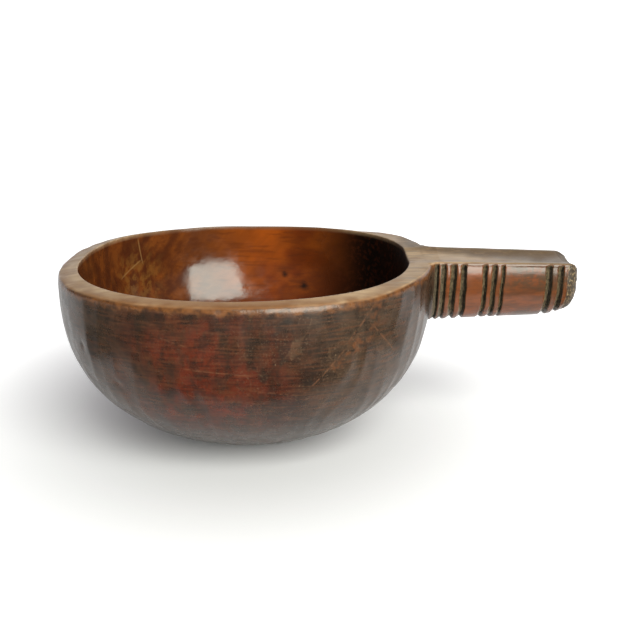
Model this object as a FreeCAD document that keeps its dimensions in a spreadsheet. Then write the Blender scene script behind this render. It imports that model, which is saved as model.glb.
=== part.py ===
"""A kuksa: a round carved wooden drinking cup with one straight, grooved handle.

Frame: millimetres, origin at the centre of the foot, +X towards the handle, +Z up.
The cup is carved from one piece of wood. Its bowl and its handle are two solids here, which
meet face to face at the bottom of the handle's second groove.
"""
import FreeCAD, Part
import math
import os

import Sketcher

DIMENSIONS = {
    # the bowl's outside
    "half_width": 65.0,             # half of the outside width at the rim
    "rim_height": 63.9,             # where the bowl's curved profile ends, above the foot
    "profile_reach": 0.955,         # how far down its curve the profile is cut off by the foot
    "profile_power": 2.845,         # fullness of the profile under the rim
    "profile_root": 1.476,          # roundness of the profile towards the foot
    "side_arc_ratio": 1.322,        # radius of the four flatter sides, per half width
    "corner_arc_ratio": 0.727,      # radius of the four rounder corners, per half width
    "over_rim": 6.0,                # height of the untrimmed bowl above its rim
    "rim_slope_width": 9.0,         # the rim's top falls outwards, over this width
    "rim_slope_fall": 1.9,
    "rim_arris": 1.4,               # radius of the rim's worn outer edge
    # the rim's sheer line, seen from the side
    "sheer_radius": 4330.0,
    "sheer_low_place": -15.6,       # where the rim is lowest, along the length
    "sheer_low_height": 65.74,
    "trim_reach": 90.0,             # half length of the cut that trims the rim
    "trim_top": 80.0,
    # the bowl's hollow
    "hollow_half_length": 57.3,
    "hollow_half_width": 60.0,
    "hollow_shift": -0.6,           # the wall is thicker on the handle's side
    "hollow_reach": 0.97,
    "floor_thickness": 9.0,
    # the handle
    "root_start": 58.0,             # where the handle's wood starts, inside the wall
    "handle_end": 116.0,
    "handle_top": 66.7,             # top of the handle, at its root
    "top_droop": 0.022,             # fall of the top per length
    "widest_height": 60.2,          # height of the handle's widest line
    "handle_half_width": 14.5,
    "side_taper": 0.045,            # loss of half width per length
    "side_bulge": 24.0,             # radius of the handle's sides
    "underside": 42.4,              # lowest line of the handle, at its root
    "underside_rise": 0.05,         # rise of the underside per length
    "end_round": 5.0,               # radius of the handle's end, seen from above
    "end_top_share": 0.8,           # how far the top takes part in the end's rounding
    # the thumb trough along the handle's top
    "trough_half_width": 10.4,
    "trough_depth": 1.8,
    "trough_run": 14.0,             # length of the trough across the rim
    # the carved grooves: half width, depth and places along the length
    "groove_half_width": 1.1,
    "groove_depth": 1.2,
    "groove_1": 65.4,
    "groove_2": 67.9,
    "groove_3": 71.2,
    "groove_4": 74.8,
    "groove_5": 82.0,
    "groove_6": 85.1,
    "groove_7": 88.2,
    "groove_8": 104.3,
    "groove_9": 108.3,
}
GROOVE_COUNT = 9
END_STEPS = 4                       # steps round the handle's rounded end
PROFILE_STEPS = 8                   # steps from the rim down to the foot
JOINT_ANGLE = 22.5                  # where a section's side arc hands over to its corner arc
DIVISION = "Sizes.groove_2"         # plane where the bowl and the handle meet

SKETCH_ORIGIN = (-1, 1)             # Sketcher's number for the origin point
START, END, CENTRE = 1, 2, 3        # Sketcher's numbers for the points of an arc or a line

doc = FreeCAD.newDocument("kuksa")


def make_sheet():
    """The spreadsheet whose cells drive every sketch and feature."""
    sheet = doc.addObject("Spreadsheet::Sheet", "Sizes")
    for row, (alias, value) in enumerate(DIMENSIONS.items(), start=1):
        sheet.set(f"A{row}", alias)
        sheet.set(f"B{row}", str(value))
        sheet.setAlias(f"B{row}", alias)
    doc.recompute()


def size_of(expression):
    """The value that an expression of the sheet's cells has now."""
    return float(doc.getObject("Sizes").evalExpression(expression))


# ---------------------------------------------------------------- sketch helpers
def new_body(name):
    body = doc.addObject("PartDesign::Body", name)
    body.Label = name
    return body


def new_sketch(body, name, role, offset="0"):
    """A sketch on one of the body's origin planes, moved along the plane's normal."""
    plane = next(item for item in body.Origin.OriginFeatures if item.Role == role)
    sketch = body.newObject("Sketcher::SketchObject", name)
    sketch.AttachmentSupport = [(plane, "")]
    sketch.MapMode = "FlatFace"
    sketch.setExpression("AttachmentOffset.Base.z", offset)
    return sketch


def add_arc(sketch, centre, radius, start, end):
    """An arc drawn anticlockwise between two angles in degrees."""
    circle = Part.Circle(FreeCAD.Vector(*centre, 0), FreeCAD.Vector(0, 0, 1), radius)
    return sketch.addGeometry(Part.ArcOfCircle(circle, math.radians(start), math.radians(end)))


def add_line(sketch, start, end):
    return sketch.addGeometry(Part.LineSegment(FreeCAD.Vector(*start, 0), FreeCAD.Vector(*end, 0)))


def constrain(sketch, kind, *places):
    sketch.addConstraint(Sketcher.Constraint(kind, *places))


def dimension(sketch, name, kind, *places, size):
    """A named dimension of the sketch, bound to an expression."""
    index = sketch.addConstraint(Sketcher.Constraint(kind, *places, size_of(size)))
    sketch.renameConstraint(index, name)
    sketch.setExpression(f"Constraints.{name}", size)


def place_point(sketch, name, element, point, along, up):
    """Fix a point of an element by its two distances from the sketch's origin."""
    dimension(sketch, f"{name}_along", "DistanceX", *SKETCH_ORIGIN, element, point, size=along)
    dimension(sketch, f"{name}_up", "DistanceY", *SKETCH_ORIGIN, element, point, size=up)


def check_drawn(sketch):
    if sketch.solve() != 0 or not sketch.FullyConstrained:
        raise RuntimeError(f"{sketch.Name} is not fully constrained")


# ---------------------------------------------------------------- the bowl
def rounded_square(body, name, height, half_length, half_width, shift):
    """A level section: four flat side arcs, tangent to four rounder corner arcs."""
    sketch = new_sketch(body, name, "XY_Plane", height)
    half = size_of(half_length)
    side_radius = half * DIMENSIONS["side_arc_ratio"]
    corner_radius = half * DIMENSIONS["corner_arc_ratio"]
    back = half - side_radius
    away = (side_radius - corner_radius) * math.sin(math.radians(JOINT_ANGLE)) * math.sqrt(2)
    sides = []
    corners = []
    for turn in (0, 90, 180, 270):
        along = math.radians(turn)
        centre = (size_of(shift) + back * math.cos(along), back * math.sin(along))
        sides.append(add_arc(sketch, centre, side_radius, turn - JOINT_ANGLE, turn + JOINT_ANGLE))
        along = math.radians(turn + 45)
        centre = (size_of(shift) + away * math.cos(along), away * math.sin(along))
        corners.append(add_arc(sketch, centre, corner_radius, turn + JOINT_ANGLE, turn + 90 - JOINT_ANGLE))
    for side, corner, next_side in zip(sides, corners, sides[1:] + sides[:1]):
        constrain(sketch, "Tangent", side, END, corner, START)
        constrain(sketch, "Tangent", corner, END, next_side, START)
    for side, corner in zip(sides[1:], corners[1:]):
        constrain(sketch, "Equal", sides[0], side)
        constrain(sketch, "Equal", corners[0], corner)
    side_size = f"({half_length}) * Sizes.side_arc_ratio"
    dimension(sketch, "side_radius", "Radius", sides[0], size=side_size)
    dimension(sketch, "corner_radius", "Radius", corners[0], size=f"({half_length}) * Sizes.corner_arc_ratio")
    long_reach = f"({half_length}) - {side_size}"
    wide_reach = f"({half_width}) - {side_size}"
    place_point(sketch, "east", sides[0], CENTRE, f"{shift} + {long_reach}", "0")
    place_point(sketch, "north", sides[1], CENTRE, shift, wide_reach)
    place_point(sketch, "west", sides[2], CENTRE, f"{shift} - ({long_reach})", "0")
    place_point(sketch, "south", sides[3], CENTRE, shift, f"-({wide_reach})")
    check_drawn(sketch)
    return sketch


def bowl_sections(body, name, reach, floor, half_length, half_width, shift):
    """Sections from above the rim down to the floor, closer together where the profile curves most."""
    sections = []
    rise = f"(Sizes.rim_height - {floor})"
    for step in range(-1, PROFILE_STEPS + 1):
        if step < 0:
            height = "Sizes.rim_height + Sizes.over_rim"
            shrink = "1"
        else:
            depth = f"sin({90 * step / PROFILE_STEPS} deg)"
            height = f"{floor} + {rise} * (1 - {depth})"
            shrink = f"(1 - ({reach} * {depth}) ^ Sizes.profile_power) ^ (1 / Sizes.profile_root)"
        sections.append(rounded_square(body, f"{name}_section_{step + 1}", height,
                                       f"{half_length} * {shrink}", f"{half_width} * {shrink}", shift))
    return sections


def loft(body, kind, name, sections, ruled=False):
    feature = body.newObject(f"PartDesign::{kind}Loft", name)
    feature.Profile = (sections[0], [""])
    feature.Sections = [(section, [""]) for section in sections[1:]]
    feature.Ruled = ruled
    doc.recompute()


def trim_rim(body):
    """Cut the bowl's top along its sheer line, a long shallow arc from end to end."""
    sketch = new_sketch(body, "sheer_line", "XZ_Plane")
    centre = (DIMENSIONS["sheer_low_place"], DIMENSIONS["sheer_low_height"] + DIMENSIONS["sheer_radius"])
    reach = DIMENSIONS["trim_reach"]
    top = DIMENSIONS["trim_top"]
    slope = math.degrees(math.asin(reach / DIMENSIONS["sheer_radius"]))
    sheer = add_arc(sketch, centre, DIMENSIONS["sheer_radius"], 270 - slope, 270 + slope)
    low = DIMENSIONS["sheer_low_height"]
    right = add_line(sketch, (reach, low), (reach, top))
    over = add_line(sketch, (reach, top), (-reach, top))
    left = add_line(sketch, (-reach, top), (-reach, low))
    constrain(sketch, "Coincident", sheer, END, right, START)
    constrain(sketch, "Coincident", right, END, over, START)
    constrain(sketch, "Coincident", over, END, left, START)
    constrain(sketch, "Coincident", left, END, sheer, START)
    constrain(sketch, "Vertical", right)
    constrain(sketch, "Vertical", left)
    dimension(sketch, "sheer_radius", "Radius", sheer, size="Sizes.sheer_radius")
    place_point(sketch, "sheer", sheer, CENTRE, "Sizes.sheer_low_place",
                "Sizes.sheer_low_height + Sizes.sheer_radius")
    place_point(sketch, "top_right", right, END, "Sizes.trim_reach", "Sizes.trim_top")
    place_point(sketch, "top_left", left, START, "-Sizes.trim_reach", "Sizes.trim_top")
    check_drawn(sketch)
    cut = body.newObject("PartDesign::Pocket", "rim_trim")
    cut.Profile = (sketch, [""])
    cut.Type = "ThroughAll"
    cut.SideType = "Symmetric"
    doc.recompute()
    return cut


def outer_rim_edges(feature):
    """Names of the edges round the outside of the bowl's top."""
    names = []
    lowest = DIMENSIONS["sheer_low_height"] - 1.5 * DIMENSIONS["rim_slope_fall"]
    least_reach = DIMENSIONS["half_width"] - DIMENSIONS["rim_slope_width"] / 2
    for number, edge in enumerate(feature.Shape.Edges, start=1):
        middle = edge.valueAt((edge.FirstParameter + edge.LastParameter) / 2)
        if edge.BoundBox.ZMin > lowest and math.hypot(middle.x, middle.y) > least_reach:
            names.append(f"Edge{number}")
    return names


def shape_rim(body, cut):
    """Slope the rim's top outwards, and wear its outer edge round. The bowl is still solid."""
    slope = body.newObject("PartDesign::Chamfer", "rim_slope")
    slope.Base = (cut, outer_rim_edges(cut))
    slope.ChamferType = "Two distances"
    slope.FlipDirection = True
    slope.setExpression("Size", "Sizes.rim_slope_width")
    slope.setExpression("Size2", "Sizes.rim_slope_fall")
    doc.recompute()
    rounding = body.newObject("PartDesign::Fillet", "worn_rim")
    rounding.Base = (slope, outer_rim_edges(slope))
    rounding.setExpression("Radius", "Sizes.rim_arris")
    doc.recompute()


def make_bowl():
    body = new_body("bowl")
    outside = bowl_sections(body, "outside", "Sizes.profile_reach", "0",
                            "Sizes.half_width", "Sizes.half_width", "0")
    loft(body, "Additive", "outside", outside)
    shape_rim(body, trim_rim(body))
    root = [handle_section(body, "root_inner", "Sizes.root_start")]
    root += groove_sections(body, 1, ("before", "waist", "after"))
    root += groove_sections(body, 2, ("before", "waist"))
    loft(body, "Additive", "handle_root", root, ruled=True)
    cut_trough(body, "rim_trough", towards_end=False)
    hollow = bowl_sections(body, "hollow", "Sizes.hollow_reach", "Sizes.floor_thickness",
                           "Sizes.hollow_half_length", "Sizes.hollow_half_width", "Sizes.hollow_shift")
    loft(body, "Subtractive", "hollow", hollow)
    return body


# ---------------------------------------------------------------- the handle
def handle_section(body, name, place, inset="0", lowered="0"):
    """An upright section: a flat top, two bulging sides and a round underside.

    The inset shrinks its sides and underside, and the top stands lower by its own amount.
    """
    sketch = new_sketch(body, name, "YZ_Plane", place)
    run = f"(({place}) - Sizes.root_start)"
    half = f"(Sizes.handle_half_width - Sizes.side_taper * {run} - {inset})"
    drop = f"(Sizes.widest_height - Sizes.underside - Sizes.underside_rise * {run} - {inset} / 2)"
    under = f"({half} * (2 * Sizes.side_bulge - {half}) - {drop} ^ 2) / (2 * (Sizes.side_bulge - {drop}))"
    lid_height = f"Sizes.handle_top - Sizes.top_droop * {run} - {lowered}"
    bulge = DIMENSIONS["side_bulge"]
    widest = DIMENSIONS["widest_height"]
    top = size_of(lid_height)
    side_centre = bulge - size_of(half)
    under_radius = size_of(under)
    under_centre = widest - size_of(drop) + under_radius
    rise_angle = math.degrees(math.asin((top - widest) / bulge))
    fall_angle = math.degrees(math.atan2(widest - under_centre, side_centre))
    corner = bulge * math.cos(math.radians(rise_angle)) - side_centre
    lid = add_line(sketch, (corner, top), (-corner, top))
    left = add_arc(sketch, (side_centre, widest), bulge, 180 - rise_angle, 180 + fall_angle)
    bottom = add_arc(sketch, (0, under_centre), under_radius, 180 + fall_angle, 360 - fall_angle)
    right = add_arc(sketch, (-side_centre, widest), bulge, -fall_angle, rise_angle)
    constrain(sketch, "Coincident", lid, END, left, START)
    constrain(sketch, "Tangent", left, END, bottom, START)
    constrain(sketch, "Tangent", bottom, END, right, START)
    constrain(sketch, "Coincident", right, END, lid, START)
    constrain(sketch, "Horizontal", lid)
    constrain(sketch, "Equal", left, right)
    dimension(sketch, "side_bulge", "Radius", left, size="Sizes.side_bulge")
    place_point(sketch, "left", left, CENTRE, f"Sizes.side_bulge - {half}", "Sizes.widest_height")
    place_point(sketch, "right", right, CENTRE, f"{half} - Sizes.side_bulge", "Sizes.widest_height")
    dimension(sketch, "under_radius", "Radius", bottom, size=under)
    dimension(sketch, "top", "DistanceY", *SKETCH_ORIGIN, lid, START, size=lid_height)
    check_drawn(sketch)
    return sketch


def cut_trough(body, name, towards_end):
    """The shallow round-bottomed trough that the thumb rests in, cut along the handle's top."""
    before = body.Shape.Volume
    sketch = new_sketch(body, name + "_outline", "YZ_Plane", DIVISION)
    half = DIMENSIONS["trough_half_width"]
    depth = DIMENSIONS["trough_depth"]
    top = DIMENSIONS["handle_top"]
    over = top + depth
    radius = (half ** 2 + depth ** 2) / (2 * depth)
    centre_height = top - depth + radius
    spread = math.degrees(math.asin(half / radius))
    hollow = add_arc(sketch, (0, centre_height), radius, 270 - spread, 270 + spread)
    right = add_line(sketch, (half, top), (half, over))
    lid = add_line(sketch, (half, over), (-half, over))
    left = add_line(sketch, (-half, over), (-half, top))
    constrain(sketch, "Coincident", hollow, END, right, START)
    constrain(sketch, "Coincident", right, END, lid, START)
    constrain(sketch, "Coincident", lid, END, left, START)
    constrain(sketch, "Coincident", left, END, hollow, START)
    constrain(sketch, "Vertical", right)
    constrain(sketch, "Vertical", left)
    size = "(Sizes.trough_half_width ^ 2 + Sizes.trough_depth ^ 2) / (2 * Sizes.trough_depth)"
    dimension(sketch, "hollow_radius", "Radius", hollow, size=size)
    place_point(sketch, "right_top", right, END, "Sizes.trough_half_width",
                "Sizes.handle_top + Sizes.trough_depth")
    place_point(sketch, "left_top", left, START, "-Sizes.trough_half_width",
                "Sizes.handle_top + Sizes.trough_depth")
    place_point(sketch, "hollow", hollow, CENTRE, "0", f"Sizes.handle_top - Sizes.trough_depth + {size}")
    check_drawn(sketch)
    cut = body.newObject("PartDesign::Pocket", name)
    cut.Profile = (sketch, [""])
    cut.Reversed = towards_end
    if towards_end:
        cut.Type = "ThroughAll"
    else:
        cut.Type = "Length"
        cut.setExpression("Length", "Sizes.trough_run")
    doc.recompute()
    if body.Shape.Volume > before - 1.0:
        raise RuntimeError(f"{name} cuts nothing")


def groove_sections(body, number, parts):
    """The sections of one V groove: its two edges and the narrow waist between them."""
    middle = f"Sizes.groove_{number}"
    places = {
        "before": (f"{middle} - Sizes.groove_half_width", "0"),
        "waist": (middle, "Sizes.groove_depth"),
        "after": (f"{middle} + Sizes.groove_half_width", "0"),
    }
    return [handle_section(body, f"{part}_{number}", *places[part]) for part in parts]


def handle_sections(body):
    """Sections from the second groove to the rounded end, with a narrow waist at each groove."""
    grooves = groove_sections(body, 2, ("waist", "after"))
    for number in range(3, GROOVE_COUNT + 1):
        grooves += groove_sections(body, number, ("before", "waist", "after"))
    end = []
    for step in range(END_STEPS + 1):
        turn = f"{90 * step / END_STEPS} deg"
        place = f"Sizes.handle_end - Sizes.end_round * (1 - sin({turn}))"
        inset = f"Sizes.end_round * (1 - cos({turn}))"
        end.append(handle_section(body, f"end_{step}", place, inset, f"Sizes.end_top_share * {inset}"))
    return grooves + end


def make_handle():
    body = new_body("handle")
    loft(body, "Additive", "grooved_grip", handle_sections(body), ruled=True)
    cut_trough(body, "thumb_trough", towards_end=True)
    return body


# ---------------------------------------------------------------- build, check and write
def check_document(bodies):
    for item in doc.Objects:
        if "Invalid" in item.State or "Error" in item.State:
            raise RuntimeError(f"{item.Name}: {item.State}")
    for body in bodies:
        if body.Shape.isNull() or not body.Shape.isValid() or len(body.Shape.Solids) != 1:
            raise RuntimeError(f"{body.Label} is not one valid solid")


def write_parts(bodies):
    os.makedirs("parts", exist_ok=True)
    for body in bodies:
        body.Shape.exportStep(f"parts/{body.Label}.step")
        print(f"{body.Label}: {body.Shape.Volume / 1000:.1f} cubic centimetres")


make_sheet()
bodies = [make_bowl(), make_handle()]
doc.recompute()
check_document(bodies)
write_parts(bodies)
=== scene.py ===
"""The looks of a carved wooden kuksa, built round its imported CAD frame.

The cup is one piece of carved wood. Two pieces stand for its two CAD solids: the bowl with the
root of the handle, and the handle from its second groove to its end. Lengths here are in
millimetres, and each mesh is scaled to metres when it is made.
"""
import math

import bmesh
import bpy
import numpy as np
from mathutils import Euler, Matrix, Vector


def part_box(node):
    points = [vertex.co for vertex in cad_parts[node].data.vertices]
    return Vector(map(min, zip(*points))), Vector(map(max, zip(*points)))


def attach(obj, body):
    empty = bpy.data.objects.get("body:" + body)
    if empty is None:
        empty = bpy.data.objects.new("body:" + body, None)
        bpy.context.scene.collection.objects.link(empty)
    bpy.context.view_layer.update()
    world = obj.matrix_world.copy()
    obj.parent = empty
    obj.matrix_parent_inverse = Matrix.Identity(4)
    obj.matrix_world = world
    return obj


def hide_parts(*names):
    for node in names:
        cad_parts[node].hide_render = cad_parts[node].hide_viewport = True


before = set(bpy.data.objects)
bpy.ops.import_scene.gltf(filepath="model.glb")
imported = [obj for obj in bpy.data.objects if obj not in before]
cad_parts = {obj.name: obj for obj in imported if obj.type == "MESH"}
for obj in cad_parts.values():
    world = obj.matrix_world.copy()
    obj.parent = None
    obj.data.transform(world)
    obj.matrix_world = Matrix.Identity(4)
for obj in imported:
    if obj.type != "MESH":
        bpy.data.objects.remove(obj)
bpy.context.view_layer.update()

# ---------------- sizes
MM = 0.001
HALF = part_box("bowl")[1][1] / MM  # half of the bowl's width at the rim
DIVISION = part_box("handle")[0][0] / MM  # where the handle's piece starts, in the second groove
HANDLE_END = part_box("handle")[1][0] / MM

RIM = 63.9  # where the bowl's curved profile starts
SQUARENESS = 2.32  # 2 would be a round bowl
PROFILE_POWER = 2.845
PROFILE_ROOT = 1.476
OUTER_REACH = 0.955  # part of the curve's full depth that is used
SHEER_RADIUS = 1770.0  # the rim's long sheer line
SHEER_PLACE = -10.0
SHEER_HEIGHT = 65.0
RIM_TILT = 0.21  # fall of the rim's top towards the outside
RIM_WIDEST = 9  # the fall grows no more beyond this
RIM_LEVELS = (38, 58)  # along X, where it levels out towards the handle
ARRIS = 1.4  # worn outer edge of the rim: width and height
ARRIS_DROP = 2.3
INNER_EDGE = 0.35  # crisp inner edge of the rim
FOOT_HOLLOW = 0.25  # the foot's middle is a little above the ground
HOLLOW_LENGTH = 57.3  # half of the hollow's length and width at the rim
HOLLOW_WIDTH = 60.0
HOLLOW_SHIFT = -0.6
HOLLOW_REACH = 0.97
FLOOR = 9.0  # thickness of the bowl's floor
FLUTE_COUNT = 58  # gouge cuts round the outside
FLUTE_DEPTH = 0.30

ROOT = 58.0  # where the handle's straight lines are measured from
ROOT_START = 59.5  # where its own mesh starts, inside the wall
TOP = RIM + 2.7  # height of the handle's top at its root
TOP_DROOP = 0.022
TOP_JOINS = (59, 66)  # along X, where the rim's top turns into the handle's top
WAVE_DROP = 0.1  # room for the upper surface's slight waves
SIDE_HALF = 14.5  # half of the handle's width at its root
BESIDE_TROUGH = 2 * SIDE_HALF  # across the handle, clear of the trough
SIDE_TAPER = 0.045
SIDE_BULGE = 24.0  # radius of its rounded sides
FLARE = 2.4  # widening where the handle leaves the wall
FLARE_END = 66.2
FLARE_LENGTH = 2.8
WIDEST = 60.2  # height where the handle is widest
UNDERSIDE = 42.4  # height of the handle's lowest line at its root
UNDERSIDE_RISE = 0.05
END_RISE = 0.028  # the underside curves up towards the end
END_RISE_START = 104
END_ROUND = 5.0
END_MIDDLE = 57.0  # height of the end face's middle
END_FLAT = 0.35  # length of the end face's slight dome
END_SHRINK = 0.62  # how much of the section is lost in the end's rounding
END_FACE = 0.38  # and how much is left as the end face
END_ROUGH = (110.2, 111.4)  # along X, where the rough end sets in
END_LOOK = (110.3, 111.2)  # and where its look sets in
LIP = 0.9  # rounding between the handle's top and its sides
TROUGH_HALF = 12.0
TROUGH_DEPTH = 1.6
TROUGH_SOFTNESS = 0.06
TROUGH_START = (48, 56)  # along X, where the trough sets in
TROUGH_FADE = (104, 114)  # and where it gets shallower
TROUGH_LOSS = 0.45

# the carved grooves: the middle and the half width of each
GROOVES = ((65.4, 0.95), (67.9, 1.05), (71.2, 1.38), (74.8, 1.28), (82.0, 1.02),
           (85.1, 1.15), (88.2, 0.88), (104.3, 1.38), (108.3, 1.25))
GROOVE_STEEPNESS = 1.5  # depth per half width
GROOVE_WEAR = 0.12  # how far the edges of a groove are rounded over
GROOVE_SKEW = 0.4  # the deepest line is off the middle, towards the end
GROOVE_STOPS = (63.0, 112.0)  # no groove strays beyond these
# where the loops of points lie across a groove, in half widths
GROOVE_STEPS = (-1.1, -1, -0.9, -0.6, -0.3, 0, 0.2, 0.3, 0.4, 0.55, 0.7, 0.85, 0.95, 1, 1.1)

ANGLES = 550  # columns of points round the bowl
OUTER_LOOPS = 66  # loops up the outside, over the rim's top and down the inside
RIM_LOOPS = 10
INNER_LOOPS = 58
CLOSEST_LOOPS = 0.07  # the handle's loops lie further apart than this
DENTS = (  # knocks in the outside: place, width and depth
    ((-37.9, -51.3, 35.3), 1.5, 0.6),
    ((-50.0, -44.7, 45.9), 1.2, 0.35),
    ((-53.5, -39.5, 44.3), 1.0, 0.3),
    ((-30.1, -53.0, 28.0), 2.4, 0.25),
    ((36.0, -54.0, 38.0), 2.2, 0.2),
)
SCRATCHES = (  # on the outside: a point, the cross direction, length and width
    ((-5.0, -63.2, 43.5), (0.1, 0.0, 1.0), 26, 0.35),
    ((38.0, -55.0, 57.0), (1.0, 0.6, -1.0), 16, 0.5),
    ((27.0, -59.0, 42.0), (1.0, 0.3, -0.9), 22, 0.4),
    ((44.0, -50.0, 52.0), (1.0, 0.8, 1.3), 22, 0.4),
    ((-18.0, -61.0, 53.0), (0.3, 0.0, 1.0), 12, 0.3),
    ((12.0, -60.0, 36.0), (0.15, 0.1, 1.0), 18, 0.3),
)
WORN_SPOTS = (  # where the stain is worn off the outside: place and size
    ((43.8, -52.2, 62.1), 3.6),
    ((42.5, -53.2, 58.0), 3.0),
    ((34.0, -57.3, 46.8), 3.4),
    ((40.2, -54.4, 53.0), 4.2),
    ((37.0, -56.0, 50.0), 4.2),
    ((31.0, -58.0, 44.0), 3.2),
)
KNOTS = (((10.8, 57.6, 45.0), 1.8), ((19.0, 54.5, 41.0), 2.5))  # inside: place and size
INSIDE_SCRATCHES = (  # a V of two lines: point, cross direction, length and width
    ((-46.3, 40.7, 58.4), (0.64, 0.76, 0.14), 12, 0.45),
    ((-49.4, 35.2, 52.1), (0.34, 0.23, -0.91), 16, 0.45),
)
FAR_BELOW = 10.0  # the most that the mask "below" holds
RING = {"top": 44, "lip": 6, "side": 56, "bottom": 72}  # points round the handle
HASH_FACTORS = (374761393, 668265263, 1442695041)  # odd numbers that mix a cell's place
HASH_SEED = 1013904223
HASH_MIX = 1274126177
HASH_BITS = 0xFFFFFFFF


# ---------------- small maths
def smoothstep(low, high, value):
    """0 below low, 1 above high, and smooth between."""
    part = np.clip((value - low) / (high - low), 0, 1)
    return part * part * (3 - 2 * part)


def lattice(cell, seed):
    """A repeatable number from -1 to 1 for each whole-number cell."""
    mixed = sum(cell[..., axis] * factor for axis, factor in enumerate(HASH_FACTORS))
    mixed = (mixed + seed * HASH_SEED) & HASH_BITS
    mixed = ((mixed ^ (mixed >> 13)) * HASH_MIX) & HASH_BITS
    return ((mixed ^ (mixed >> 16)) & 0xFFFF) / 32767.5 - 1


def noise(points, size, seed=0):
    """Smooth noise from -1 to 1, with features about as large as size."""
    scaled = np.asarray(points, float) / size
    cell = np.floor(scaled).astype(np.int64)
    part = scaled - cell
    part = part * part * (3 - 2 * part)
    total = 0
    for corner in np.ndindex(2, 2, 2):
        weight = np.prod(np.where(corner, part, 1 - part), axis=-1)
        total = total + weight * lattice(cell + np.array(corner), seed)
    return total


# ---------------- the cup's form
def sheer(x):
    """Height of the rim's sheer line."""
    return SHEER_HEIGHT + (x - SHEER_PLACE) ** 2 / (2 * SHEER_RADIUS)


def trough(x, y):
    """Depth of the thumb trough, which runs from the rim's inner edge along the handle's top."""
    half = TROUGH_HALF - SIDE_TAPER * (x - ROOT)
    along = smoothstep(*TROUGH_START, x) * (1 - TROUGH_LOSS * smoothstep(*TROUGH_FADE, x))
    across = 1 - (y / half) ** 2
    across = 0.5 * (across + np.sqrt(across ** 2 + TROUGH_SOFTNESS ** 2))
    return TROUGH_DEPTH * along * across


def top_height(x, y):
    """Height of the cup's upper surface: the rim, and the handle's top, as one carved surface."""
    straight = TOP + WAVE_DROP - TOP_DROOP * (x - ROOT)
    handle = smoothstep(*TOP_JOINS, x)
    base = sheer(x) + (straight - sheer(x)) * handle - rim_fall(x, y) * (1 - handle)
    place = np.stack([x, y, np.zeros_like(x)], -1)
    wave = 0.10 * noise(place, 17, 3) + 0.05 * noise(place, 6, 4)
    return base - trough(x, y) + wave - WAVE_DROP


def rim_fall(x, y):
    """How far the rim's top has fallen below its inner edge. It levels out beside the handle."""
    out = np.hypot(x, y) - hollow_radius(np.arctan2(y, x))
    return RIM_TILT * np.clip(out, 0, RIM_WIDEST) * (1 - smoothstep(*RIM_LEVELS, x))


def plan_radius(angle, half_length, half_width):
    """Distance from the middle to a rounded-square outline."""
    return (np.abs(np.cos(angle) / half_length) ** SQUARENESS
            + np.abs(np.sin(angle) / half_width) ** SQUARENESS) ** (-1 / SQUARENESS)


def profile(depth, reach):
    """Width of the bowl at a depth below the rim (0 to 1), as a fraction of its width at the rim."""
    return (1 - (reach * np.clip(depth, 0, 1)) ** PROFILE_POWER) ** (1 / PROFILE_ROOT)


def even_depths(width, height, reach, count):
    """Depths from the rim down, evenly spaced along the profile."""
    depth = np.sin(np.linspace(0, math.pi / 2, 400))
    step = np.hypot(np.diff(width * profile(depth, reach)), np.diff(height * depth))
    length = np.concatenate([[0], np.cumsum(step)])
    return np.interp(np.linspace(0, length[-1], count), length, depth)


def outer_wall(angle):
    """Loops up the outside, from the middle of the foot to the start of the rim's worn edge."""
    radius = plan_radius(angle, HALF, HALF)
    edge = arris_height(angle)
    loops = []
    foot_width = profile(1, OUTER_REACH)
    for part in np.linspace(0.03, 0.96, 9):
        loops.append((radius * foot_width * part, FOOT_HOLLOW * (1 - part ** 4) + 0 * angle))
    for depth in even_depths(HALF, RIM, OUTER_REACH, OUTER_LOOPS)[::-1]:
        height = edge * (1 - depth)
        loops.append((radius * profile((RIM - height) / RIM, OUTER_REACH), height))
    return loops


def arris_height(angle):
    """Height where the outside ends and the rim's worn edge starts."""
    radius = plan_radius(angle, HALF, HALF) - ARRIS
    return top_height(radius * np.cos(angle), radius * np.sin(angle)) - ARRIS_DROP


def rim_loops(angle):
    """Loops over the rim: the worn outer edge, the sloping top and the crisp inner edge."""
    outer = plan_radius(angle, HALF, HALF)
    inner = hollow_radius(angle)
    height = arris_height(angle)
    loops = []
    for turn in np.radians((10, 20, 30, 40, 50, 60, 70, 78, 85)):
        radius = outer - ARRIS * (1 - np.cos(turn))
        loops.append((radius, height + ARRIS_DROP * np.sin(turn)))
    start = outer - ARRIS
    stop = inner + INNER_EDGE
    for part in np.linspace(0.1, 1, RIM_LOOPS):
        radius = start + (stop - start) * part
        loops.append((radius, top_height(radius * np.cos(angle), radius * np.sin(angle))))
    for turn in np.radians((30, 60, 90)):
        radius = stop - INNER_EDGE * np.sin(turn)
        crest = top_height(radius * np.cos(angle), radius * np.sin(angle))
        loops.append((radius, crest - INNER_EDGE * (1 - np.cos(turn))))
    return loops


def hollow_radius(angle):
    """Distance from the bowl's middle to the hollow's outline at the rim."""
    radius = plan_radius(angle, HOLLOW_LENGTH, HOLLOW_WIDTH)
    for _ in range(3):  # the hollow's own middle is shifted along X
        x = radius * np.cos(angle) - HOLLOW_SHIFT
        own = plan_radius(np.arctan2(radius * np.sin(angle), x), HOLLOW_LENGTH, HOLLOW_WIDTH)
        radius = radius * own / np.hypot(x, radius * np.sin(angle))
    return radius


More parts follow.
